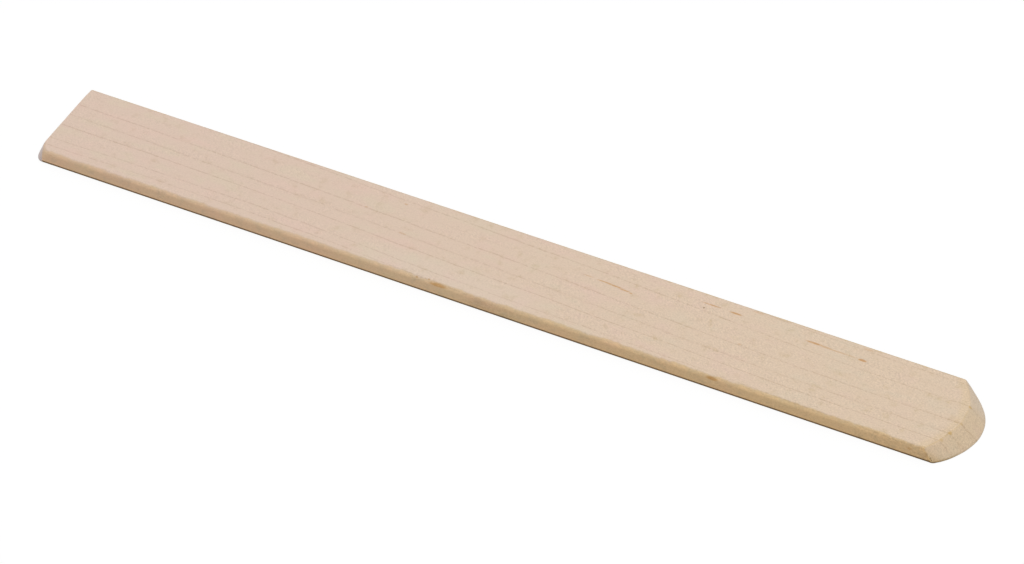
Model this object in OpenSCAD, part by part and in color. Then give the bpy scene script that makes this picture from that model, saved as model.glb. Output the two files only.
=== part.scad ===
/* Pick-up stick for hand weaving.
   One flat stick of pale, close-grained hardwood. The butt end is sawn square across and leans back
   a little. The other end is rounded in plan and bevelled on its upper side to a thin blunt rim, so
   that it slides under a few raised warp threads. The stick is then turned on edge, and its width
   holds the shed open.
   The whole tool is a single piece of wood: it has no joint, pin or fastening.
   The origin is at the centre of the underside, +X points to the tip and +Z is up. */

/* [Stick] */
// Length from the foremost point of the butt to that of the tip
stick_l = 300; // [120:5:600]
// Width across the flat faces
stick_w = 32; // [24:1:60]
// Thickness between the flat faces
stick_t = 5; // [3:0.5:8]

/* [Long edges] */
// Radius of the two upper arrises, well rounded because the yarn runs over them
upper_arris_r = 1.2; // [0.2:0.1:1.6]
// Radius of the two lower arrises, broken more lightly
lower_arris_r = 0.8; // [0.2:0.1:1.3]

/* [Butt end] */
// How far the end's upper edge stands back from its foot
butt_lean = 1.8; // [0:0.1:3]
// Radius of the two upright corners, seen in plan
butt_corner_r = 2; // [0.6:0.2:6]
// Radius of the end's upper and lower arrises
butt_arris_r = 0.4; // [0.2:0.1:1]

/* [Tip] */
// Length of the bevel along the centreline, from the ridge on the upper face to the rim
bevel_run = 5.4; // [4:0.2:16]
// How far the rim has fallen back from the foremost point where it meets the long edges
rim_setback = 8.6; // [3:0.2:12]
// The same for the ridge, which is flatter, so the bevel grows steeper towards the long edges
ridge_setback = 6; // [2:0.5:12]
// Thickness left upright at the rim, so that it can't split the yarn
rim_t = 0.4; // [0.2:0.1:1]

/* [Hidden] */

// Where the two ends lie along X, and the angle by which the butt leans back from upright
butt_x = -stick_l / 2;
tip_x = stick_l / 2;
lean_a = atan(butt_lean / stick_t);
// The leaning end would meet the underside here if its lower arris were sharp
foot_x = butt_x + butt_arris_r * (1 - 1 / tan(45 - lean_a / 2));

// Shapes that cut the stick run this far past it
overrun = 5;
// Segments in a full circle: the small rounds of the edges, and the large arcs of the tip
round_fn = 48;
arc_fn = 96;

maple = "#d9c4ae";

// Radius of the arc that crosses the whole width and falls back by setback at the long edges
function arc_r(setback) = (pow(stick_w / 2, 2) + pow(setback, 2)) / (2 * setback);

function towards(angle) = [cos(angle), sin(angle)];

// What a round of radius r takes off a corner of a plane shape. The shape lies between the
// directions from_a and to_a, counted anticlockwise, in which its two sides leave the corner.
module corner_waste(x, y, from_a, to_a, r) {
    half_a = (to_a - from_a) / 2;
    mid_a = from_a + half_a;
    reach = r + overrun;
    translate([x, y] + towards(mid_a) * r / sin(half_a))
        difference() {
            polygon([
                [0, 0],
                towards(from_a - 90) * reach,
                -towards(mid_a) * reach / sin(half_a),
                towards(to_a + 90) * reach
            ]);
            circle(r, $fn = round_fn);
        }
}

// Section across the stick, seen from the butt: Y to the left and Z up
module cross_section() {
    difference() {
        translate([-stick_w / 2, 0]) square([stick_w, stick_t]);
        corner_waste(-stick_w / 2, 0, 0, 90, lower_arris_r);
        corner_waste(stick_w / 2, 0, 90, 180, lower_arris_r);
        corner_waste(stick_w / 2, stick_t, 180, 270, upper_arris_r);
        corner_waste(-stick_w / 2, stick_t, 270, 360, upper_arris_r);
    }
}

// Plan square to the leaning butt, with its upright corners rounded. The butt lies at X = 0.
module butt_plan() {
    difference() {
        translate([0, -stick_w / 2]) square([stick_l + overrun, stick_w]);
        corner_waste(0, -stick_w / 2, 0, 90, butt_corner_r);
        corner_waste(0, stick_w / 2, 270, 360, butt_corner_r);
    }
}

// The space ahead of the leaning butt and between the long edges
module ahead_of_butt() {
    translate([foot_x, 0, 0])
        rotate([0, lean_a, 0])
            linear_extrude(2 * stick_l, center = true) butt_plan();
}

// Side view of the stick with the butt's upper and lower arrises rounded: X to the right and Z up
module butt_side_view() {
    difference() {
        polygon([[foot_x, 0], [tip_x, 0], [tip_x, stick_t], [foot_x + butt_lean, stick_t]]);
        corner_waste(foot_x, 0, 0, 90 - lean_a, butt_arris_r);
        corner_waste(foot_x + butt_lean, stick_t, 270 - lean_a, 360, butt_arris_r);
    }
}

// Plan of an end arc with its foremost point at nose_x, and of a strip behind the butt that is as
// wide as the arc's circle. The hull below fills the plan between the two.
module arc_and_back(nose_x, setback) {
    r = arc_r(setback);
    translate([nose_x - r, 0]) circle(r, $fn = arc_fn);
    translate([butt_x - overrun, -r]) square([overrun, 2 * r]);
}

// The space behind the rim and under the bevel: straight lines join the rim's arc to the ridge's arc
module tip_envelope() {
    hull() {
        linear_extrude(rim_t) arc_and_back(tip_x, rim_setback);
        translate([0, 0, stick_t])
            linear_extrude(overrun) arc_and_back(tip_x - bevel_run, ridge_setback);
    }
}

module stick() {
    color(maple)
        intersection() {
            translate([butt_x, 0, 0])
                rotate([90, 0, 90])
                    linear_extrude(stick_l) cross_section();
            ahead_of_butt();
            translate([0, stick_w / 2, 0])
                rotate([90, 0, 0])
                    linear_extrude(stick_w) butt_side_view();
            tip_envelope();
        }
}

stick();
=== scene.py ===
# %% [markdown]
# # A pick-up stick for hand weaving
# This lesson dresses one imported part: a flat maple stick, 300 mm long, with a butt that leans back
# a little and a wide, bevelled tip. A weaver slides the tip under a few raised warp threads and then
# turns the stick on edge, so that its width holds the shed open.
# The part's exact solid comes from its own source and is loaded first, as a fixed frame. It says
# how large the stick is and where it lies, and every shape below starts from it.

import math

import bmesh
import bpy
from mathutils import Matrix, Vector


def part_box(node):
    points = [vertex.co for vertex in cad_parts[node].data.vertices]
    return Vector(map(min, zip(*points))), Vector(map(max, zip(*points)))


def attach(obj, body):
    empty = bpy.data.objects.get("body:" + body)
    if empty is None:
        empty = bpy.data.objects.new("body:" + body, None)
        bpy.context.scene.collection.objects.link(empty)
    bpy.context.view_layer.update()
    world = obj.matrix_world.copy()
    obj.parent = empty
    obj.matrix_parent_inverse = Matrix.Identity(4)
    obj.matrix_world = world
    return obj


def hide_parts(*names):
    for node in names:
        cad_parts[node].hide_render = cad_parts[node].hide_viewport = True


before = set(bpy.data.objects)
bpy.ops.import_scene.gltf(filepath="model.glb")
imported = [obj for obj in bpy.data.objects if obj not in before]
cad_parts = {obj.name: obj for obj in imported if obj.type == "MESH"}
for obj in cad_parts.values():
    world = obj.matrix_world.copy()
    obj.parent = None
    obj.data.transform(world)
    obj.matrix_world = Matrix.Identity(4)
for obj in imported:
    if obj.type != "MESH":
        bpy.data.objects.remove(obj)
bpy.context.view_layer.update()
low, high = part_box("stick")
MM = 0.001
LENGTH, WIDTH, THICKNESS = high - low
print("Stick in mm:", [round(side / MM, 2) for side in (LENGTH, WIDTH, THICKNESS)])

# %% [markdown]
# ## The camera
# The stick was photographed from its near side and a little above, with a long lens, so its edges
# stay almost parallel. The camera could be placed by eye, but a few pixels of error would tilt the
# whole stick. Its place below comes from fitting the stick's straight edges and its tip, so the
# render can be laid over the photograph.

# %% Camera
SENSOR_WIDTH = 36.0
LENS = 160.92
CAMERA_PLACE = (0.44513, -0.88633, 0.90002)
LOOKS_ALONG = (-0.33054, 0.66203, -0.67265)
NEAREST_SEEN = 0.05

camera_data = bpy.data.cameras.new("camera")
camera_data.sensor_fit = "HORIZONTAL"
camera_data.sensor_width = SENSOR_WIDTH
camera_data.lens = LENS
camera_data.clip_start = NEAREST_SEEN
camera = bpy.data.objects.new("camera", camera_data)
bpy.context.scene.collection.objects.link(camera)
camera.location = CAMERA_PLACE
camera.rotation_mode = "QUATERNION"
camera.rotation_quaternion = Vector(LOOKS_ALONG).to_track_quat("-Z", "Y")
bpy.context.scene.camera = camera
print("Camera height above the table in mm:", round(camera.location.z / MM))

# %% [markdown]
# ## The section across the stick
# On the real stick the maker rounds all four long arrises, the upper two more than the lower two,
# because the yarn runs over them. The section could be a cube with bevelled edges. Here it is one
# flat face, because every later step needs the same points along the whole stick. A vertex bevel
# with a profile of 0.5 gives true quarter circles.

# %% Draw the section
UPPER_ARRIS = 1.2 * MM
LOWER_ARRIS = 0.8 * MM
ARRIS_SEGMENTS = 8
TINY = 1e-7

# Turns a flat square so that it stands across the stick
STANDING = Matrix(((0, 0, 1, 0), (1, 0, 0, 0), (0, 1, 0, 0), (0, 0, 0, 1)))

stick_bm = bmesh.new()
bmesh.ops.create_grid(stick_bm, x_segments=1, y_segments=1, size=0.5, matrix=STANDING)
bmesh.ops.scale(stick_bm, vec=(1, WIDTH, THICKNESS), verts=stick_bm.verts)
bmesh.ops.translate(stick_bm, vec=(0, 0, THICKNESS / 2), verts=stick_bm.verts)


def round_corners(bm, corners, radius):
    bmesh.ops.bevel(
        bm,
        geom=corners,
        offset=radius,
        offset_type="OFFSET",
        segments=ARRIS_SEGMENTS,
        profile=0.5,
        affect="VERTICES",
        material=-1,
        clamp_overlap=False,
    )


top_corners = [v for v in stick_bm.verts if v.co.z > THICKNESS / 2]
bottom_corners = [v for v in stick_bm.verts if v.co.z < THICKNESS / 2]
round_corners(stick_bm, top_corners, UPPER_ARRIS)
round_corners(stick_bm, bottom_corners, LOWER_ARRIS)
print("Points round the section:", len(stick_bm.verts))

# %% [markdown]
# ## Columns, rows and two borders of narrow faces
# The tip's bevel is curved, so its face needs points inside it as well as round its edge. Cutting
# the section with planes gives columns about a millimetre apart and a few rows. Two insets then add
# borders of narrow faces just inside the outline, so that the edge can be softened evenly.

# %% Divide the section
COLUMN_REACH = 14.2 * MM
COLUMNS = 28
ROWS = [height * MM for height in (1.3, 2.1, 2.9, 3.7)]
BORDERS = 2
BORDER_WIDTH = 0.38 * MM


def cut(bm, point, normal):
    geometry = bm.verts[:] + bm.edges[:] + bm.faces[:]
    bmesh.ops.bisect_plane(bm, geom=geometry, dist=TINY, plane_co=point, plane_no=normal)


for column in range(COLUMNS + 1):
    y = COLUMN_REACH * (2 * column / COLUMNS - 1)
    cut(stick_bm, (0, y, 0), (0, 1, 0))
for z in ROWS:
    cut(stick_bm, (0, 0, z), (0, 0, 1))
middle_faces = stick_bm.faces[:]
for border in range(BORDERS):
    bmesh.ops.inset_region(
        stick_bm,
        faces=middle_faces,
        thickness=BORDER_WIDTH,
        use_even_offset=True,
        use_boundary=True,
    )
print("Faces in the section:", len(stick_bm.faces))

# %% [markdown]
# ## A row of stations
# The section is extruded and cut across at stations, numbered from the butt. For now the stations
# are one millimetre apart and only count: the next cells say where each station really lies. The
# first few go round the corners of the butt, the last few round the soft edge of the bevel.

# %% Extrude the section and cut the stations
ROUND_STEPS = 14
BUTT_STEPS = 22
BODY_STEPS = 72
EDGE_STEPS = 5
last_station = BUTT_STEPS + BODY_STEPS + EDGE_STEPS

extruded = bmesh.ops.extrude_face_region(stick_bm, geom=stick_bm.faces[:], use_keep_orig=True)
tip_verts = [v for v in extruded["geom"] if isinstance(v, bmesh.types.BMVert)]
bmesh.ops.translate(stick_bm, vec=(last_station * MM, 0, 0), verts=tip_verts)
for station in range(1, last_station):
    cut(stick_bm, (station * MM, 0, 0), (1, 0, 0))
print("Stations:", last_station + 1, "vertices:", len(stick_bm.verts))

# %% [markdown]
# ## The shape of the butt
# The butt was sawn at a slant, so its upper edge stands back from its foot. Its stations are first
# laid out as if the end stood upright, with small arrises and round upright corners. Then they
# lean, less and less the further they lie from the end. The near upright corner is rubbed rounder
# than the far one, most of all at its top.

# %% Formulas for the butt
BUTT_UPPER = 0.2 * MM
BUTT_LOWER = 1.7 * MM
NEAR_CORNER_FOOT = 2.2 * MM
NEAR_CORNER_TOP = 4.5 * MM
FAR_CORNER = 0.5 * MM
FAR_WEAR = 0.2 * MM
FAR_WEAR_FROM = 10.0 * MM
FAR_WEAR_OVER = 6.0 * MM
BUTT_REACH = 10.0 * MM
LEAN_SLOPE = 0.382
LEAN_FROM = 1.05 * MM
LEAN_SOFTNESS = 0.3 * MM


def smooth(value):
    value = min(max(value, 0.0), 1.0)
    return value * value * (3 - 2 * value)


def still_to_rise(radius, along):
    """What a quarter circle of this radius has still to rise, at a distance along from its start."""
    left = radius - min(max(along, 0.0), radius)
    return radius - math.sqrt(radius * radius - left * left)


def lean_back(z):
    """How far the end stands back at this height: hardly at its foot, then in a straight slant."""
    above = z - LEAN_FROM
    return LEAN_SLOPE * (above + math.hypot(above, LEAN_SOFTNESS)) / 2


def round_butt(along, y, z):
    top = THICKNESS - still_to_rise(BUTT_UPPER, along)
    bottom = still_to_rise(BUTT_LOWER, along)
    z = bottom + (top - bottom) * z / THICKNESS
    near_corner = NEAR_CORNER_FOOT + (NEAR_CORNER_TOP - NEAR_CORNER_FOOT) * z / THICKNESS
    corner = FAR_CORNER if y > 0 else near_corner
    y -= math.copysign(still_to_rise(corner, along) * smooth(abs(y) / (WIDTH / 2)), y)
    set_back = lean_back(z) + FAR_WEAR * smooth((y - FAR_WEAR_FROM) / FAR_WEAR_OVER)
    set_back *= 1 - smooth(along / BUTT_REACH)
    return Vector((low.x + along + set_back, y, z))


print("The upper edge of the butt stands back by, in mm:", round(lean_back(THICKNESS) / MM, 2))

# %% [markdown]
# ## The shape of the tip
# The tip is an arc in plan. The bevel runs from a flatter arc, the ridge on the upper face, down to
# the rim, which is left 0.4 mm thick so that it can't split the yarn. Straight lines join the two
# arcs, as a sanding block leaves them.
# No hand sands a perfect arc. Measured against one, this tip's rim is a little full on the far side
# of the nose and a little flat on the near side, and its ridge wavers between three soft facets. Each
# of these is a low hump or hollow of a few tenths of a millimetre, given by its place across the
# stick, its half width and its height.

# %% Formulas for the tip
BEVEL_RUN = 5.4 * MM
RIM_RADIUS = 19.18 * MM
RIDGE_RADIUS = 24.333 * MM
RIM_THICKNESS = 0.4 * MM
RIM_SOFTNESS = 0.1 * MM
RIM_HUMPS = (
    (-9.5, 4.5, -0.40),
    (-4.3, 2.2, -0.12),
    (5.0, 3.3, 0.12),
    (8.5, 3.0, 0.08),
    (12.0, 2.5, -0.14),
)
RIDGE_HUMPS = (
    (5.4, 3.0, 0.40),
    (-2.0, 2.2, 0.22),
    (-7.8, 3.2, -0.34),
    (15.5, 2.0, -0.2),
)


def humps(rows, y):
    total = 0.0
    for middle, half_width, height in rows:
        total += height * MM * math.exp(-(((y / MM - middle) / half_width) ** 2))
    return total


def tip_end(y, z):
    """Where the rim and the bevel end the stick at this place in the section."""
    above = z - RIM_THICKNESS
    above = (above + math.hypot(above, RIM_SOFTNESS)) / 2
    share = above / (THICKNESS - RIM_THICKNESS)
    radius = RIM_RADIUS + (RIDGE_RADIUS - RIM_RADIUS) * share
    nose = high.x - BEVEL_RUN * share
    uneven = humps(RIM_HUMPS, y) * (1 - share) + humps(RIDGE_HUMPS, y) * share
    return nose - radius + math.sqrt(radius * radius - y * y) + uneven


print("Rim on the centre line in mm:", round(tip_end(0, 0) / MM, 2))
print("Ridge on the centre line in mm:", round(tip_end(0, THICKNESS) / MM, 2))

# %% [markdown]
# ## How soft each edge is
# The rim keeps a small crisp edge underneath. The ridge and the two places where the bevel meets the
# long sides are rubbed rounder. One formula gives the softness at any place on the outline, and
# another the direction from there into the wood.

# %% Formulas for the edges
UNDERSIDE_SOFTNESS = 0.13 * MM
RIDGE_SOFTNESS = 0.46 * MM
NEAR_SIDE_SOFTNESS = 0.85 * MM
FAR_SIDE_SOFTNESS = 1.1 * MM
SIDE_SOFT_FROM = 15.2 * MM
SIDE_SOFT_OVER = 0.7 * MM
SLOPE_STEP = 0.05 * MM


def softness(y, z):
    at_ridge = smooth(z / THICKNESS)
    at_side = smooth((abs(y) - SIDE_SOFT_FROM) / SIDE_SOFT_OVER)
    at_side *= smooth(z / LOWER_ARRIS) * (1 - at_ridge)
    plain = UNDERSIDE_SOFTNESS + (RIDGE_SOFTNESS - UNDERSIDE_SOFTNESS) * at_ridge
    side = FAR_SIDE_SOFTNESS if y > 0 else NEAR_SIDE_SOFTNESS
    return plain + (side - plain) * at_side


def inward(y, z):
    """The direction into the section from a point of its outline."""
    corner = UPPER_ARRIS if z > THICKNESS / 2 else LOWER_ARRIS
    side = math.copysign(WIDTH / 2 - corner, y)
    level = THICKNESS - corner if z > THICKNESS / 2 else corner
    past_side = abs(y) > abs(side) + TINY
    past_level = abs(z - THICKNESS / 2) > abs(level - THICKNESS / 2) + TINY
    if past_side and past_level:
        return Vector((side - y, level - z)).normalized()
    if past_side:
        return Vector((-math.copysign(1, y), 0))
    return Vector((0, math.copysign(1, THICKNESS / 2 - z)))


def soft_edge(turn, y, z):
    """A point on the curve over the edge: turn is 0 on the long side and 1 on the bevel."""
    into = inward(y, z)
    further_in = tip_end(y + into.x * SLOPE_STEP, z + into.y * SLOPE_STEP)
    slope = (further_in - tip_end(y, z)) / SLOPE_STEP
    lean = math.hypot(1, slope)
    soft = softness(y, z)
    x = tip_end(y, z) + soft * (turn * turn * slope / lean - (1 - turn) ** 2)
    depth = soft * turn * turn / lean
    return Vector((x, y + into.x * depth, z + into.y * depth))


print("Softness at the ridge in mm:", round(softness(0, THICKNESS) / MM, 2))

# %% [markdown]
# ## Moving every station to its place
# Each vertex knows its station and its place in the section. Between the ends, a vertex goes the
# same share of the way to the end of its own line, so the cross cuts bend little by little until
# they follow the ridge. The last stations run over the edge on a small curve, from the long side of
# the stick to the face of the bevel, which is how sandpaper breaks such an edge.

# %% Shape the stick
edge_first = last_station - EDGE_STEPS + 1


def place(vertex, on_outline):
    station = round(vertex.co.x / MM)
    y, z = vertex.co.y, vertex.co.z
    if station <= ROUND_STEPS:
        turn = math.pi / 2 * station / ROUND_STEPS
        return round_butt(NEAR_CORNER_TOP * (1 - math.cos(turn)), y, z)
    if station <= BUTT_STEPS:
        share = (station - ROUND_STEPS) / (BUTT_STEPS - ROUND_STEPS)
        return round_butt(NEAR_CORNER_TOP + (BUTT_REACH - NEAR_CORNER_TOP) * share, y, z)
    if not on_outline:
        return Vector((tip_end(y, z), y, z))
    if station >= edge_first:
        return soft_edge((station - edge_first) / (EDGE_STEPS - 1), y, z)
    start = low.x + BUTT_REACH
    end = tip_end(y, z) - softness(y, z)
    share = (station - BUTT_STEPS) / (edge_first - BUTT_STEPS)
    return Vector((start + (end - start) * share, y, z))


# The faces of the two ends lie across the stick, and the walls between them run along it
walls = [f for f in stick_bm.faces if abs(f.normal.x) < 0.5]
on_wall = {v for f in walls for v in f.verts}
places = [place(v, v in on_wall) for v in stick_bm.verts]
for vertex, new_place in zip(stick_bm.verts, places):
    vertex.co = new_place
bmesh.ops.recalc_face_normals(stick_bm, faces=stick_bm.faces[:])
if stick_bm.calc_volume(signed=True) < 0:
    bmesh.ops.reverse_faces(stick_bm, faces=stick_bm.faces[:])
open_edges = [e for e in stick_bm.edges if not e.is_manifold]
print("Volume in cubic mm:", round(stick_bm.calc_volume(signed=True) / MM**3))
print("Open edges:", len(open_edges))

# %% [markdown]
# ## One object for the whole tool
# The real stick is a single piece of wood, so it is one object. It rides on the model's only body
# and stands for the plain solid. Its faces are shaded smoothly. Weighted normals keep the large flat
# faces looking flat beside the narrow round ones, so no edge has to be marked sharp.

# %% Make the object
for face in stick_bm.faces:
    face.smooth = True
stick_mesh = bpy.data.meshes.new("maple_stick")
stick_bm.to_mesh(stick_mesh)
stick_bm.free()
stick = bpy.data.objects.new("maple_stick", stick_mesh)
bpy.context.scene.collection.objects.link(stick)
weighted = stick.modifiers.new("even shading", "WEIGHTED_NORMAL")
weighted.mode = "FACE_AREA"
weighted.weight = 50
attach(stick, "root")
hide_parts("stick")
print("Faces:", len(stick_mesh.polygons))

# %% [markdown]
# ## Building materials from nodes
# The next helpers add a node or two and give back an output, so that a pattern reads like a sum.
# Colours are written as they look on screen, from 0 to 255, and turned into the linear light values
# that the renderer works with. A tint is written as what each light value is multiplied by.

# %% Node helpers


def light_values(red, green, blue):
    """The linear values of a screen colour, by the sRGB standard."""
    values = [level / 255 for level in (red, green, blue)]
    return [v / 12.92 if v <= 0.04045 else ((v + 0.055) / 1.055) ** 2.4 for v in values] + [1.0]


def feed(tree, socket, value):
    if isinstance(value, bpy.types.NodeSocket):
        tree.links.new(value, socket)
    elif value is not None:
        socket.default_value = value


def add(tree, kind, inputs=None, **settings):
    """Add a node. inputs says what each socket gets, by the socket's name or number."""
    node = tree.nodes.new(kind)
    for name, value in settings.items():
        setattr(node, name, value)
    for socket, value in (inputs or {}).items():
        feed(tree, node.inputs[socket], value)
    return node


def empty_tree(owner):
    """Switch on the nodes of a material or world, and clear the ones that come with it."""
    owner.use_nodes = True
    owner.node_tree.nodes.clear()
    return owner.node_tree


print("White as light values:", light_values(255, 255, 255))

# %% Helpers for sums, steps and mixes


def maths(tree, operation, first, second=None, third=None, clamp=False):
    inputs = {0: first, 1: second, 2: third}
    return add(tree, "ShaderNodeMath", inputs, operation=operation, use_clamp=clamp).outputs[0]


def times(tree, first, *others):
    """The product of several masks."""
    for other in others:
        first = maths(tree, "MULTIPLY", first, other)
    return first


def shaken(tree, value, noise, swing):
    """A value moved up and down by a noise, by half of swing each way at the most."""
    return maths(tree, "MULTIPLY_ADD", noise, swing, maths(tree, "SUBTRACT", value, swing / 2))


def vector_maths(tree, operation, first, second=None):
    node = add(tree, "ShaderNodeVectorMath", {0: first, 1: second}, operation=operation)
    return node.outputs["Value" if operation == "LENGTH" else "Vector"]


def rise(tree, value, start, end, low_out=0.0, high_out=1.0):
    """A smooth step: low_out up to start, high_out from end."""
    inputs = {"Value": value, "From Min": start, "From Max": end, "To Min": low_out, "To Max": high_out}
    return add(tree, "ShaderNodeMapRange", inputs, interpolation_type="SMOOTHSTEP").outputs["Result"]


def mix(tree, factor, first, second, mode="MIX"):
    """Mix two colours, for which the node has its sockets 6 and 7."""
    inputs = {0: factor, 6: first, 7: second}
    return add(tree, "ShaderNodeMix", inputs, data_type="RGBA", blend_type=mode).outputs[2]


def blend(tree, factor, first, second):
    """Mix two plain numbers, for which the node has its sockets 2 and 3."""
    return add(tree, "ShaderNodeMix", {0: factor, 2: first, 3: second}, data_type="FLOAT").outputs[0]


print("Helpers:", [helper.__name__ for helper in (maths, times, shaken, vector_maths, rise, mix, blend)])

# %% Helpers for noise and node groups
FLOAT = "NodeSocketFloat"
VECTOR = "NodeSocketVector"


def grain_noise(tree, place, stretch, detail=2.0, roughness=0.5, shift=0.0):
    """Noise from 0 to 1. stretch is how many times it repeats in a millimetre along X, Y and Z,
    and shift moves it off, so that no two patterns are alike."""
    scaled = vector_maths(tree, "MULTIPLY", place, stretch)
    moved = vector_maths(tree, "ADD", scaled, (shift, shift * 0.37, shift * 0.61))
    inputs = {"Vector": moved, "Scale": 1.0, "Detail": detail, "Roughness": roughness}
    return add(tree, "ShaderNodeTexNoise", inputs).outputs["Fac"]


def turned(tree, place, degrees):
    """The same places with the stick turned this far in its own plane."""
    inputs = {"Vector": place, "Angle": math.radians(degrees)}
    return add(tree, "ShaderNodeVectorRotate", inputs, rotation_type="Z_AXIS").outputs["Vector"]


def new_group(name, inputs, outputs):
    """A node group, with the sockets that it takes in and the ones that it gives out."""
    tree = bpy.data.node_groups.new(name, "ShaderNodeTree")
    for label, kind in inputs.items():
        tree.interface.new_socket(name=label, in_out="INPUT", socket_type=kind)
    for label, kind in outputs.items():
        tree.interface.new_socket(name=label, in_out="OUTPUT", socket_type=kind)
    return tree, add(tree, "NodeGroupInput").outputs, add(tree, "NodeGroupOutput").inputs


def use_group(tree, group, **inputs):
    node = tree.nodes.new("ShaderNodeGroup")
    node.node_tree = group
    for name, value in inputs.items():
        feed(tree, node.inputs[name.replace("_", " ")], value)
    return node.outputs


print("Helpers:", [helper.__name__ for helper in (grain_noise, turned, new_group, use_group)])

# %% [markdown]
# ## Growth rings
# The board was sawn so that the rings stand upright in it. On the upper face they are thin
# grey-brown lines that run the whole length and drift towards the near edge as they near the tip.
# A picture of the lines could be laid on the upper face, but then they would stop at the edges.
# Instead each point of the wood is given its distance across the rings, in millimetres from the
# near edge at the butt. A line is then a thin sheet through the whole stick, and it comes out on
# the sides, the bevel and the underside where the real one would.
# Three curves say how far the lines on the near side, in the middle and on the far side have
# drifted at each distance from the butt. Two noises then make every line wander a little.

# %% Distance across the rings
CURVE_LENGTH = 300.0
DRIFT_SCALE = 12.0
NEAR_DRIFT = (
    (0, 0), (60, -0.4), (80, 0), (100, 0.8), (120, 2.0), (150, 3.0), (200, 4.4), (250, 5.8), (300, 6.6),
)
MIDDLE_DRIFT = (
    (0, 0), (40, 0.9), (80, 1.95), (120, 3.65), (150, 4.65), (200, 7.0), (250, 8.95), (300, 9.6),
)
FAR_DRIFT = (
    (0, 0), (75, 2.0), (100, 3.4), (125, 4.3), (150, 5.2), (190, 7.0), (230, 9.6), (250, 10.6), (300, 11),
)
NEAR_TO_MIDDLE = (10.0, 18.5)
MIDDLE_TO_FAR = (24.0, 32.5)
WANDER = 0.9
SHIVER = 0.3


def drift_curve(tree, along, points):
    """The drift at a distance along the stick. A curve holds 0 to 1, so 0.5 stands for no drift."""
    node = add(tree, "ShaderNodeFloatCurve", {"Value": maths(tree, "DIVIDE", along, CURVE_LENGTH)})
    curve = node.mapping.curves[0]
    spots = [(x / CURVE_LENGTH, 0.5 + drift / (2 * DRIFT_SCALE)) for x, drift in points]
    curve.points[0].location = spots[0]
    curve.points[1].location = spots[-1]
    for spot in spots[1:-1]:
        curve.points.new(*spot)
    node.mapping.update()
    centred = maths(tree, "SUBTRACT", node.outputs[0], 0.5)
    return maths(tree, "MULTIPLY", centred, 2 * DRIFT_SCALE)


rings, given, out = new_group("distance across the rings", {"Place": VECTOR}, {"Across": FLOAT})
spot = add(rings, "ShaderNodeSeparateXYZ", {"Vector": given["Place"]}).outputs
near_drift = drift_curve(rings, spot["X"], NEAR_DRIFT)
middle_drift = drift_curve(rings, spot["X"], MIDDLE_DRIFT)
far_drift = drift_curve(rings, spot["X"], FAR_DRIFT)
rough_count = maths(rings, "ADD", spot["Y"], middle_drift)
drift = blend(rings, rise(rings, rough_count, *NEAR_TO_MIDDLE), near_drift, middle_drift)
drift = blend(rings, rise(rings, rough_count, *MIDDLE_TO_FAR), drift, far_drift)
wander = grain_noise(rings, given["Place"], (0.05, 0.2, 0.2), detail=3.0, shift=3.0)
shiver = grain_noise(rings, given["Place"], (0.7, 0.5, 0.5), detail=2.0, shift=11.0)
wavy = shaken(rings, maths(rings, "ADD", spot["Y"], drift), wander, WANDER)
wavy = shaken(rings, wavy, shiver, SHIVER)
feed(rings, out["Across"], wavy)
print("Nodes:", len(rings.nodes))

# %% [markdown]
# ## One ring line and one stain
# A ring's line starts softly on the side that grew in spring and ends sharply where the winter
# stopped it. It is broken into dashes, because the fibres rise and dip through the surface.
# A mineral streak is a long thin stain, and a spot is a short one. One group makes both, as an egg
# shape in the wood with a full core and a soft border.

# %% Ring line group
SOFT_SIDE = 1.6
SHARP_SIDE = -1.0

ring_line, given, out = new_group(
    "ring line",
    {"Across": FLOAT, "Middle": FLOAT, "Half Width": FLOAT, "Strength": FLOAT, "Break Up": FLOAT},
    {"Mask": FLOAT},
)
away = maths(ring_line, "SUBTRACT", given["Across"], given["Middle"])
away = maths(ring_line, "DIVIDE", away, given["Half Width"])
soft_side = rise(ring_line, away, SOFT_SIDE, 0.0)
sharp_side = rise(ring_line, away, SHARP_SIDE, 0.0)
line = times(ring_line, soft_side, sharp_side, given["Strength"], given["Break Up"])
feed(ring_line, out["Mask"], line)
print("Ring line group has", len(ring_line.nodes), "nodes")

# %% Stain group
STAIN_CORE = 0.35

stain, given, out = new_group(
    "stain",
    {"Place": VECTOR, "Middle": VECTOR, "Half Size": VECTOR, "Strength": FLOAT},
    {"Mask": FLOAT},
)
away = vector_maths(stain, "SUBTRACT", given["Place"], given["Middle"])
away = vector_maths(stain, "DIVIDE", away, given["Half Size"])
edge = rise(stain, vector_maths(stain, "LENGTH", away), 1.0, STAIN_CORE)
feed(stain, out["Mask"], times(stain, edge, given["Strength"]))
print("Stain group has", len(stain.nodes), "nodes")

# %% [markdown]
# ## The maple
# Sanded maple without varnish is pale and nearly even. It is a little pinker at the butt and more
# yellow at the tip, with wide, very faint blotches of pinker and greener wood. A plain colour would
# look like card. The pattern could lie on the mesh, but wood is the same stuff all through, so every
# part of it here is worked out from the place in the solid, in millimetres from the near corner of
# the butt.

# %% Maple: place and colour of the faces
BUTT_FACE = light_values(204.4, 181.0, 163.8)
TIP_FACE = light_values(206.2, 184.2, 160.0)
PINKER_WOOD = light_values(209, 180, 165)
GREENER_WOOD = light_values(202, 185, 162)
GREENER_SHARE = 0.5
CREAM_TINT = (1.0, 1.03, 1.04, 1.0)

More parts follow.
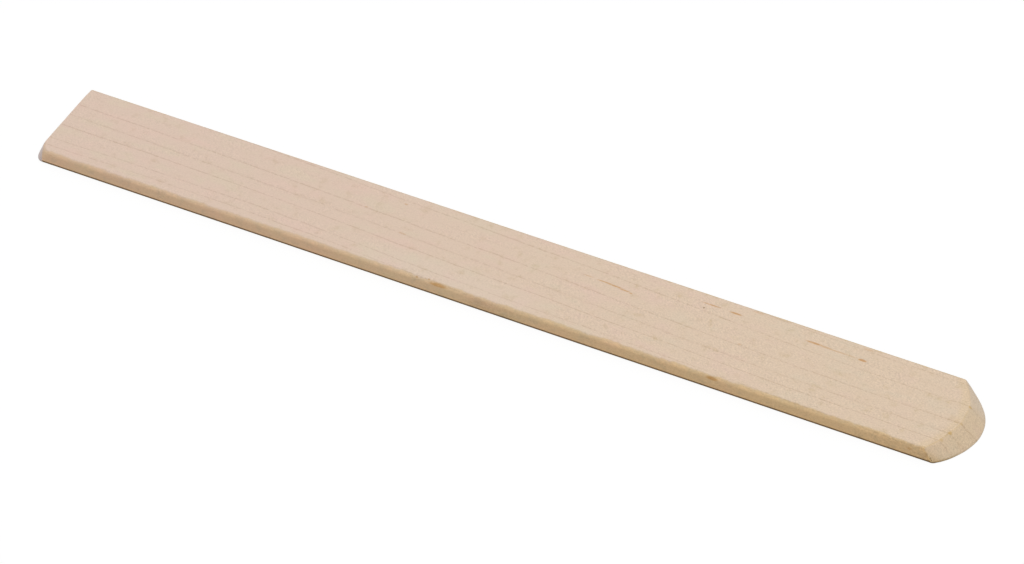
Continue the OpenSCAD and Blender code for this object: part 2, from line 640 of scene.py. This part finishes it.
maple = bpy.data.materials.new("sanded_maple")
tree = empty_tree(maple)
coordinates = add(tree, "ShaderNodeTexCoord").outputs
centred = vector_maths(tree, "MULTIPLY", coordinates["Object"], (1 / MM, 1 / MM, 1 / MM))
place_mm = vector_maths(tree, "ADD", centred, (LENGTH / MM / 2, WIDTH / MM / 2, 0.0))
spot = add(tree, "ShaderNodeSeparateXYZ", {"Vector": place_mm}).outputs
facing = add(tree, "ShaderNodeSeparateXYZ", {"Vector": coordinates["Normal"]}).outputs


def from_butt(start, end, *levels):
    """A smooth step between two distances from the butt, in millimetres."""
    return rise(tree, spot["X"], start, end, *levels)


def from_near_side(start, end, *levels):
    """The same across the stick, from its near long side."""
    return rise(tree, spot["Y"], start, end, *levels)


def from_below(start, end, *levels):
    """The same upwards, from its underside."""
    return rise(tree, spot["Z"], start, end, *levels)


def tinted(wood, mask, tint):
    """The wood with its light values multiplied by the tint, as far as the mask says."""
    return mix(tree, mask, wood, tint, "MULTIPLY")


toward_tip = from_butt(20.0, 280.0)
face_colour = mix(tree, toward_tip, BUTT_FACE, TIP_FACE)
wide_blotches = grain_noise(tree, place_mm, (0.06, 0.16, 0.16), detail=2.0, shift=5.0)
small_blotches = grain_noise(tree, place_mm, (0.15, 0.25, 0.25), detail=2.0, shift=7.0)
blotches = maths(tree, "MULTIPLY_ADD", wide_blotches, 0.5, times(tree, small_blotches, 0.5))
pinker = times(tree, rise(tree, blotches, 0.5, 0.68), from_butt(180.0, 270.0, 0.45, 0.2))
face_colour = mix(tree, pinker, face_colour, PINKER_WOOD)
greener = times(tree, rise(tree, blotches, 0.5, 0.34), GREENER_SHARE)
face_colour = mix(tree, greener, face_colour, GREENER_WOOD)
creamy = times(tree, from_butt(100.0, 125.0), from_butt(175.0, 155.0), from_near_side(12.0, 6.0))
face_colour = tinted(face_colour, creamy, CREAM_TINT)
print("Maple nodes so far:", len(tree.nodes))

# %% [markdown]
# ## Ring lines in the maple
# Each line has its own distance across the rings, half width and strength. One noise breaks them
# into dashes and another lets whole stretches fade. One of them has a wide cloudy band round it.

# %% Maple: ring lines
RING_LINES = (
    (3.15, 0.26, 0.75),
    (6.55, 0.28, 0.9),
    (10.1, 0.35, 0.12),
    (13.15, 0.29, 2.0),
    (18.4, 0.26, 0.6),
    (23.55, 0.3, 1.15),
    (28.2, 0.35, 0.15),
    (32.5, 0.3, 1.12),
    (36.0, 0.35, 0.2),
    (40.4, 0.28, 0.7),
)
BAND = (18.3, 1.0, 0.4)
LINE_SHARE = 0.9
LINE_TINT = (0.85, 0.81, 0.775, 1.0)

across = use_group(tree, rings, Place=place_mm)["Across"]
dashes = grain_noise(tree, place_mm, (0.9, 1.5, 1.5), detail=3.0, roughness=0.65, shift=17.0)
fading = grain_noise(tree, place_mm, (0.045, 0.12, 0.12), detail=2.0, shift=19.0)
broken = times(tree, rise(tree, dashes, 0.4, 0.6, 0.2, 1.55), rise(tree, fading, 0.38, 0.6, 0.6, 1.15))
band_noise = grain_noise(tree, place_mm, (0.5, 1.6, 1.6), detail=3.0, shift=23.0)
cloudy = rise(tree, band_noise, 0.42, 0.66)


def ring_mask(middle, half_width, strength, break_up):
    return use_group(
        tree,
        ring_line,
        Across=across,
        Middle=middle,
        Half_Width=half_width,
        Strength=strength,
        Break_Up=break_up,
    )["Mask"]


lines = 0.0
for middle, half_width, strength in RING_LINES:
    lines = maths(tree, "ADD", lines, ring_mask(middle, half_width, strength, broken), clamp=True)
lines = maths(tree, "ADD", lines, ring_mask(*BAND, cloudy), clamp=True)
wood = tinted(face_colour, times(tree, lines, LINE_SHARE), LINE_TINT)
print("Ring lines:", len(RING_LINES))

# %% [markdown]
# ## Speckle, flecks and pores
# Close up, the wood has a fine speckle of darker and paler specks, pockets of short flecks that lie
# slanted across the grain, and thin dark pores along it. All of these are coarser towards the tip.
# Each is one noise, stretched as the real marks are, and tints the wood only a little. Noise stays
# mostly between 0.3 and 0.7, so a step up from 0.5 takes its higher half, and a step down from there
# its lower half.

# %% Maple: speckle
DARK_SPECK = (0.90, 0.89, 0.89, 1.0)
PALE_SPECK = (1.09, 1.09, 1.09, 1.0)
DARK_FLECK = (0.935, 0.93, 0.93, 1.0)
PALE_FLECK = (1.055, 1.055, 1.055, 1.0)
PORE = (0.88, 0.86, 0.85, 1.0)
FLECK_SLANT = 50.0

coarser = times(tree, from_butt(150.0, 215.0, 0.75, 1.45), from_butt(280.0, 292.0, 1.0, 1.35))
speckle = grain_noise(tree, place_mm, (1.7, 2.4, 2.4), detail=3.0, roughness=0.7, shift=31.0)
pockets = grain_noise(tree, place_mm, (0.05, 0.16, 0.16), detail=2.0, shift=61.0)
pockets = rise(tree, pockets, 0.46, 0.62, 0.15, 1.5)
slanted = turned(tree, place_mm, FLECK_SLANT)
flecks = grain_noise(tree, slanted, (1.2, 2.2, 2.2), detail=3.0, roughness=0.65, shift=53.0)
pores = grain_noise(tree, place_mm, (0.6, 2.8, 2.8), detail=1.0, shift=67.0)
for mask, tint in (
    (rise(tree, speckle, 0.5, 0.72), DARK_SPECK),
    (rise(tree, speckle, 0.5, 0.28), PALE_SPECK),
    (times(tree, rise(tree, flecks, 0.5, 0.68), pockets), DARK_FLECK),
    (times(tree, rise(tree, flecks, 0.5, 0.32), pockets), PALE_FLECK),
    (rise(tree, pores, 0.68, 0.76), PORE),
):
    wood = tinted(wood, times(tree, mask, coarser), tint)
print("Maple nodes so far:", len(tree.nodes))

# %% [markdown]
# ## Streaks and spots
# This piece of maple has a few orange mineral streaks, a few brown spots on its edges and some pin
# dots. Noise would scatter them anywhere, so each has its own row: its middle and half size in
# millimetres, and its strength. The dashes that break the ring lines also make the streaks ragged.

# %% Maple: streaks and spots
STREAKS = (
    ((179.5, 22.65, 5.0), (3.4, 0.34, 2.0), 0.85),
    ((183.0, 22.35, 5.0), (3.6, 0.36, 2.0), 1.0),
    ((186.2, 21.9, 5.0), (2.6, 0.34, 2.0), 0.9),
    ((188.3, 21.55, 5.0), (0.8, 0.4, 2.0), 0.8),
    ((174.0, 22.9, 5.0), (2.6, 0.3, 2.0), 0.45),
    ((211.3, 27.5, 5.0), (4.2, 0.34, 2.0), 0.9),
    ((219.2, 27.3, 5.0), (2.7, 0.5, 2.0), 1.0),
    ((244.6, 25.95, 5.0), (3.8, 0.5, 2.0), 1.0),
    ((248.2, 25.8, 5.0), (2.6, 0.5, 2.0), 0.6),
    ((252.0, 25.65, 5.0), (8.5, 0.34, 2.0), 0.52),
    ((259.6, 25.45, 5.0), (1.8, 0.65, 2.0), 1.2),
    ((133.2, 0.9, 4.95), (0.55, 0.4, 1.0), 0.8),
    ((129.4, 0.5, 4.8), (0.55, 0.4, 1.0), 0.8),
    ((112.0, 27.2, 5.0), (0.9, 0.4, 2.0), 0.6),
    ((102.0, 21.0, 5.0), (0.8, 0.35, 2.0), 0.4),
    ((117.0, 15.2, 5.0), (2.0, 0.4, 2.0), 0.35),
    ((225.5, 16.0, 5.0), (0.8, 0.4, 2.0), 0.5),
    ((225.0, 30.5, 4.9), (2.5, 0.5, 1.5), 0.35),
    ((259.5, 30.3, 4.9), (2.2, 0.5, 1.5), 0.4),
    ((118.0, 31.5, 4.6), (2.6, 0.7, 1.2), 0.5),
    ((132.0, 31.6, 4.6), (1.6, 0.6, 1.2), 0.4),
    ((136.4, 0.0, 4.5), (4.0, 1.1, 0.75), 0.9),
    ((224.0, 0.0, 4.35), (2.5, 1.0, 0.75), 0.95),
    ((69.0, 0.0, 0.6), (1.4, 0.6, 0.6), 0.6),
    ((285.0, 0.0, 3.2), (0.9, 0.6, 0.6), 0.7),
    ((294.6, 21.4, 4.9), (0.9, 0.6, 0.8), 0.95),
    ((293.4, 9.2, 4.9), (0.9, 0.8, 0.8), 0.9),
    ((294.9, 14.0, 4.9), (0.7, 0.5, 0.8), 0.45),
    ((292.3, 5.6, 4.8), (0.9, 0.7, 0.8), 0.55),
)
PIN_DOTS = (
    ((209.85, 25.45, 5.0), (0.35, 0.5, 1.0), 1.0),
    ((296.3, 13.7, 3.1), (0.9, 0.35, 0.8), 0.3),
    ((298.2, 13.0, 1.5), (0.7, 0.35, 0.6), 0.25),
    ((293.7, 5.3, 2.8), (0.6, 0.4, 0.6), 0.3),
)
STREAK_COLOUR = light_values(186, 143, 96)
TIP_STREAK_COLOUR = light_values(190, 160, 112)
EDGE_SPOT_COLOUR = light_values(176, 139, 92)
DOT_COLOUR = light_values(150, 125, 100)


def stains(rows):
    total = 0.0
    for middle, half_size, strength in rows:
        mask = use_group(
            tree, stain, Place=place_mm, Middle=middle, Half_Size=half_size, Strength=strength
        )["Mask"]
        total = maths(tree, "MAXIMUM", total, mask)
    return total


near_tip = from_butt(270.0, 280.0)
near_edge = from_near_side(1.6, 0.8)
ragged = rise(tree, dashes, 0.34, 0.5, 0.5, 1.0)
stain_colour = mix(tree, near_tip, STREAK_COLOUR, TIP_STREAK_COLOUR)
stain_colour = mix(tree, near_edge, stain_colour, EDGE_SPOT_COLOUR)
wood = mix(tree, times(tree, stains(STREAKS), ragged), wood, stain_colour)
wood = mix(tree, stains(PIN_DOTS), wood, DOT_COLOUR)
print("Streaks and spots:", len(STREAKS), "pin dots:", len(PIN_DOTS))

# %% [markdown]
# ## Sides, end grain and painted light
# The sawn and sanded long sides are warmer and darker than the faces. A ragged band of painted shade
# runs along the rounded upper arris between them. On the bevel and the butt the cut runs across the
# fibres, and this end grain is greyer. The bevel's tint also paints light, warmer on its near part
# and cooler on its far part, as its facets take the light, and the butt's end grain is painted
# bluish, as cool light from the left.
# Each could be a material of its own on its own faces, but then the borders would be as straight as
# the mesh. Here the direction in which the surface faces chooses the wood, with some noise. It is
# given as three numbers, each 1 where the surface faces straight along that axis and 0 where it lies
# along it. A slanted tan strip beside the near corner of the tip is painted light, for the way the
# rounded corner there takes the light.

# %% Maple: sides, end grain and painted light
RAGGEDNESS = 1.3
SIDE_BEGINS = (0.03, 0.62)
ARRIS_BEGINS = (0.05, 0.35)
ARRIS_ENDS = (0.98, 0.75)
BEVEL_BEGINS = (0.08, 0.62)
BEVEL_ENDS = (0.85, 0.45)
BUTT_SIDE_TINT = (1.115, 1.0, 0.80, 1.0)
TIP_SIDE_TINT = (1.075, 0.955, 0.69, 1.0)
# Painted shade in the rounded upper arris
ARRIS_SHADE_TINT = (0.875, 0.905, 0.935, 1.0)
# End grain of the bevel with painted light: warmer near, cooler far, as its facets take the light
NEAR_BEVEL_GRAIN_AND_LIGHT = (1.105, 1.09, 1.02, 1.0)
MIDDLE_BEVEL_GRAIN_AND_LIGHT = (1.05, 1.045, 0.965, 1.0)
FAR_BEVEL_GRAIN_AND_COOL_LIGHT = (1.045, 1.075, 1.08, 1.0)
STRIP_WIDTH = 2.3
STRIP_SLANT = -0.28
STRIP_BORDER = 1.6
# Painted light of the rounded near corner of the tip
CORNER_LIGHT_TINT = (0.98, 0.93, 0.78, 1.0)
BUTT_GRAIN = 2.65
BUTT_GRAIN_SLANT = -0.08
BUTT_GRAIN_BORDER = (-0.25, 0.15)
FACES_UP = 0.85
FACES_OUT = 0.55
# Greyer end grain with painted cool light from the left
BUTT_GRAIN_AND_COOL_LIGHT = (0.90, 0.99, 1.16, 1.0)

face_wood = wood
sideways = maths(tree, "ABSOLUTE", facing["Y"])
uneven = grain_noise(tree, place_mm, (0.3, 0.3, 0.3), detail=3.0, roughness=0.6, shift=71.0)
side_share = shaken(tree, sideways, uneven, RAGGEDNESS)
side_tint = mix(tree, toward_tip, BUTT_SIDE_TINT, TIP_SIDE_TINT)
wood = tinted(face_wood, rise(tree, side_share, *SIDE_BEGINS), side_tint)
# Painted shade: a ragged darker band along the rounded upper arris
arris_shade = times(tree, rise(tree, side_share, *ARRIS_BEGINS), rise(tree, side_share, *ARRIS_ENDS))
wood = tinted(wood, arris_shade, ARRIS_SHADE_TINT)

bevelled = times(tree, rise(tree, facing["X"], *BEVEL_BEGINS), rise(tree, sideways, *BEVEL_ENDS))
# End grain with painted light across the bevel, warm on the near part and cool on the far part
bevel_grain_and_light = mix(tree, from_near_side(4.0, 26.0), NEAR_BEVEL_GRAIN_AND_LIGHT, FAR_BEVEL_GRAIN_AND_COOL_LIGHT)
bevel_middle = times(tree, from_near_side(4.0, 9.0), from_near_side(25.0, 19.0))
bevel_grain_and_light = mix(tree, bevel_middle, bevel_grain_and_light, MIDDLE_BEVEL_GRAIN_AND_LIGHT)
wood = mix(tree, bevelled, wood, tinted(face_wood, 1.0, bevel_grain_and_light))
strip_edge = maths(tree, "MULTIPLY_ADD", spot["Z"], STRIP_SLANT, STRIP_WIDTH)
past_strip = maths(tree, "SUBTRACT", spot["Y"], strip_edge)
# Painted light: a tan strip for the way the rounded near corner takes the light
corner_light_strip = times(tree, rise(tree, past_strip, 0.0, -STRIP_BORDER), bevelled)
wood = tinted(wood, corner_light_strip, CORNER_LIGHT_TINT)

grain_ends = maths(tree, "MULTIPLY_ADD", spot["Z"], BUTT_GRAIN_SLANT, BUTT_GRAIN)
past_end = maths(tree, "SUBTRACT", grain_ends, spot["X"])
upright = rise(tree, maths(tree, "ABSOLUTE", facing["Z"]), FACES_UP, FACES_OUT)
sawn_end = times(tree, rise(tree, past_end, *BUTT_GRAIN_BORDER), upright)
# The butt's end grain is greyer, and painted bluish as cool light from the left
wood = mix(tree, sawn_end, wood, tinted(face_wood, 1.0, BUTT_GRAIN_AND_COOL_LIGHT))
print("Maple nodes so far:", len(tree.nodes))

# %% [markdown]
# ## Painted shade, painted light and wear
# The lower arris of each long side is painted dark brown, as its shade and contact shadow on the
# table, with a paler painted highlight line just above. The near part of the rim is painted darker,
# as its contact shadow on the table. The upper face is painted a little yellower just behind the
# ridge of the bevel, as light on the bend there. A hand has held this wood, and the ridge itself is
# burnished to a warmer tone.

# %% Maple: painted shade, painted light and wear
RIDGE_CENTRE = ((high.x - low.x - BEVEL_RUN - RIDGE_RADIUS) / MM, WIDTH / MM / 2, 0.0)
FOOT_HEIGHT = 1.2
# Painted shade on the lower arris, a painted highlight line above it and a painted contact shadow on the
# rim
FOOT_SHADE_TINT = (0.22, 0.15, 0.02, 1.0)
ABOVE_FOOT_HIGHLIGHT_TINT = (1.07, 1.03, 0.98, 1.0)
RIM_SHADOW_TINT = (0.72, 0.68, 0.56, 1.0)
# Painted light on the bend of the upper face just behind the ridge
BEHIND_RIDGE = (-3.2, -1.4)
BEHIND_RIDGE_LIGHT_TINT = (1.0, 0.985, 0.91, 1.0)
BURNISH_TINT = (0.97, 0.95, 0.88, 1.0)

on_side = times(
    tree,
    rise(tree, sideways, 0.35, 0.7),
    maths(tree, "SUBTRACT", 1.0, sawn_end),
    rise(tree, facing["Z"], 0.25, 0.05),
    from_butt(295.0, 291.5),
)
# Painted shade: the lower arris is darkened as its shade and contact shadow on the table
wood = tinted(wood, times(tree, from_below(FOOT_HEIGHT, 0.9), on_side), FOOT_SHADE_TINT)
# Painted highlight: a paler line just above the painted shade of the foot
highlight_above_foot = times(tree, from_below(FOOT_HEIGHT, 1.35), from_below(1.95, 1.55), on_side)
wood = tinted(wood, highlight_above_foot, ABOVE_FOOT_HIGHLIGHT_TINT)
# Painted contact shadow: the near part of the rim is darkened where it meets the table
rim_contact_shadow = times(
    tree, rise(tree, facing["X"], 0.15, 0.5), from_below(0.75, 0.4), from_near_side(9.0, 4.0)
)
wood = tinted(wood, rim_contact_shadow, RIM_SHADOW_TINT)

flat_place = vector_maths(tree, "MULTIPLY", place_mm, (1.0, 1.0, 0.0))
from_centre = vector_maths(tree, "LENGTH", vector_maths(tree, "SUBTRACT", flat_place, RIDGE_CENTRE))
from_ridge = maths(tree, "SUBTRACT", from_centre, RIDGE_RADIUS / MM)
# Painted light: the upper face is made yellower where it starts to bend over the ridge
light_behind_ridge = times(
    tree, rise(tree, from_ridge, *BEHIND_RIDGE), near_tip, rise(tree, facing["Z"], 0.9, 0.98)
)
wood = tinted(wood, light_behind_ridge, BEHIND_RIDGE_LIGHT_TINT)
burnish = times(
    tree,
    rise(tree, facing["X"], 0.04, 0.22),
    rise(tree, facing["X"], 0.62, 0.4),
    near_tip,
    from_near_side(24.0, 16.0, 0.4, 1.0),
)
wood = tinted(wood, burnish, BURNISH_TINT)
print("Maple nodes so far:", len(tree.nodes))

# %% [markdown]
# ## The surface of the maple
# The wood was sanded and left bare, so it has no gloss, only a soft sheen that changes a little with
# the speckle. Its fibres could be cut into the mesh, but they are a few hundredths of a millimetre
# deep, so a bump shows them, with the ring lines a little sunken.

# %% Maple: surface
BUMP_STRENGTH = 0.25
BUMP_DEPTH = 0.03 * MM
LINE_HEIGHT = -0.3
SMOOTHEST = 0.48
SHEEN_SWING = 0.15
WOOD_IOR = 1.45

fibres = grain_noise(tree, place_mm, (0.4, 5.0, 5.0), detail=2.0, shift=41.0)
height = maths(tree, "MULTIPLY_ADD", lines, LINE_HEIGHT, fibres)
bump = add(tree, "ShaderNodeBump", {"Strength": BUMP_STRENGTH, "Distance": BUMP_DEPTH, "Height": height})
roughness = maths(tree, "MULTIPLY_ADD", speckle, SHEEN_SWING, SMOOTHEST)
surface = add(
    tree,
    "ShaderNodeBsdfPrincipled",
    {"Base Color": wood, "Roughness": roughness, "IOR": WOOD_IOR, "Normal": bump.outputs["Normal"]},
)
add(tree, "ShaderNodeOutputMaterial", {"Surface": surface.outputs["BSDF"]})
stick_mesh.materials.append(maple)
print("Nodes in the maple:", len(tree.nodes))

# %% [markdown]
# ## Table and light
# The photograph has a plain white ground. A brighter lamp would whiten the table, but it would wash
# out the maple too. So to the camera the table is mostly a plain white, with a share of true white
# paint that keeps the stick's soft shadow, and to all other light it is a grey card.

# %% Table
TABLE_HALF_SIZE = 4.0
TABLE_DROP = 0.05 * MM
SHADOW_SHARE = 0.06
CARD_GREY = (0.38, 0.38, 0.38, 1.0)
PURE_WHITE = (1.0, 1.0, 1.0, 1.0)

table_bm = bmesh.new()
bmesh.ops.create_grid(table_bm, x_segments=1, y_segments=1, size=TABLE_HALF_SIZE)
bmesh.ops.translate(table_bm, vec=(0, 0, -TABLE_DROP), verts=table_bm.verts)
table_mesh = bpy.data.meshes.new("table")
table_bm.to_mesh(table_mesh)
table_bm.free()
table = bpy.data.objects.new("table", table_mesh)
bpy.context.scene.collection.objects.link(table)


def seen_ray(tree):
    """1 for what the camera sees, straight or in a reflection, and 0 for light on the object."""
    rays = add(tree, "ShaderNodeLightPath").outputs
    return maths(tree, "MAXIMUM", rays["Is Camera Ray"], rays["Is Glossy Ray"])


white = bpy.data.materials.new("white_table")
white_tree = empty_tree(white)
seen = seen_ray(white_tree)
matt = add(white_tree, "ShaderNodeBsdfDiffuse", {"Color": mix(white_tree, seen, CARD_GREY, PURE_WHITE)})
plain = add(white_tree, "ShaderNodeEmission", {"Color": PURE_WHITE, "Strength": 1.0})
plain_share = times(white_tree, seen, 1.0 - SHADOW_SHARE)
both = add(white_tree, "ShaderNodeMixShader", {0: plain_share, 1: matt.outputs[0], 2: plain.outputs[0]})
add(white_tree, "ShaderNodeOutputMaterial", {"Surface": both.outputs[0]})
table_mesh.materials.append(white)
print("Table:", [round(side) for side in table.dimensions])

# %% [markdown]
# ## A white room and three soft lamps
# Soft light from all round suits a pale object on white, but alone it leaves the stick flat. The
# world gives most of the light, at less than white. Three wide suns add the rest: a plain one from
# above, a cool one from behind and a warm one from the near side, so that the long side stays warm.

# %% World and lamps
SKY = 0.7
OVERHEAD = 0.28
# Each lamp's name, the direction that its light comes from, its level, colour and spread in degrees
LAMPS = (
    ("soft box overhead", (-0.12, 0.18, 1.0), OVERHEAD, (1.0, 1.0, 1.0), 60),
    ("cool window behind", (-0.7, 0.6, 0.5), 0.12, (0.86, 0.93, 1.0), 80),
    ("warm fill in front", (0.2, -1.0, 0.45), 0.16, (1.0, 0.95, 0.87), 80),
)

world = bpy.data.worlds.new("studio")
bpy.context.scene.world = world
world_tree = empty_tree(world)
strength = maths(world_tree, "MULTIPLY_ADD", seen_ray(world_tree), 1.0 - SKY, SKY)
backdrop = add(world_tree, "ShaderNodeBackground", {"Color": PURE_WHITE, "Strength": strength})
add(world_tree, "ShaderNodeOutputWorld", {"Surface": backdrop.outputs[0]})

for name, comes_from, level, colour, spread in LAMPS:
    sun = bpy.data.lights.new(name, "SUN")
    sun.energy = level * math.pi
    sun.color = colour
    sun.angle = math.radians(spread)
    lamp = bpy.data.objects.new(name, sun)
    bpy.context.scene.collection.objects.link(lamp)
    lamp.rotation_mode = "QUATERNION"
    lamp.rotation_quaternion = Vector(comes_from).to_track_quat("Z", "Y")
print("Light on the upper face, as a share of white:", round(SKY + OVERHEAD, 2))

# %% [markdown]
# ## Finish
# The view transform is Standard, so a colour renders as it is written.

# %% Colour management
bpy.context.scene.view_settings.view_transform = "Standard"
bpy.context.view_layer.update()
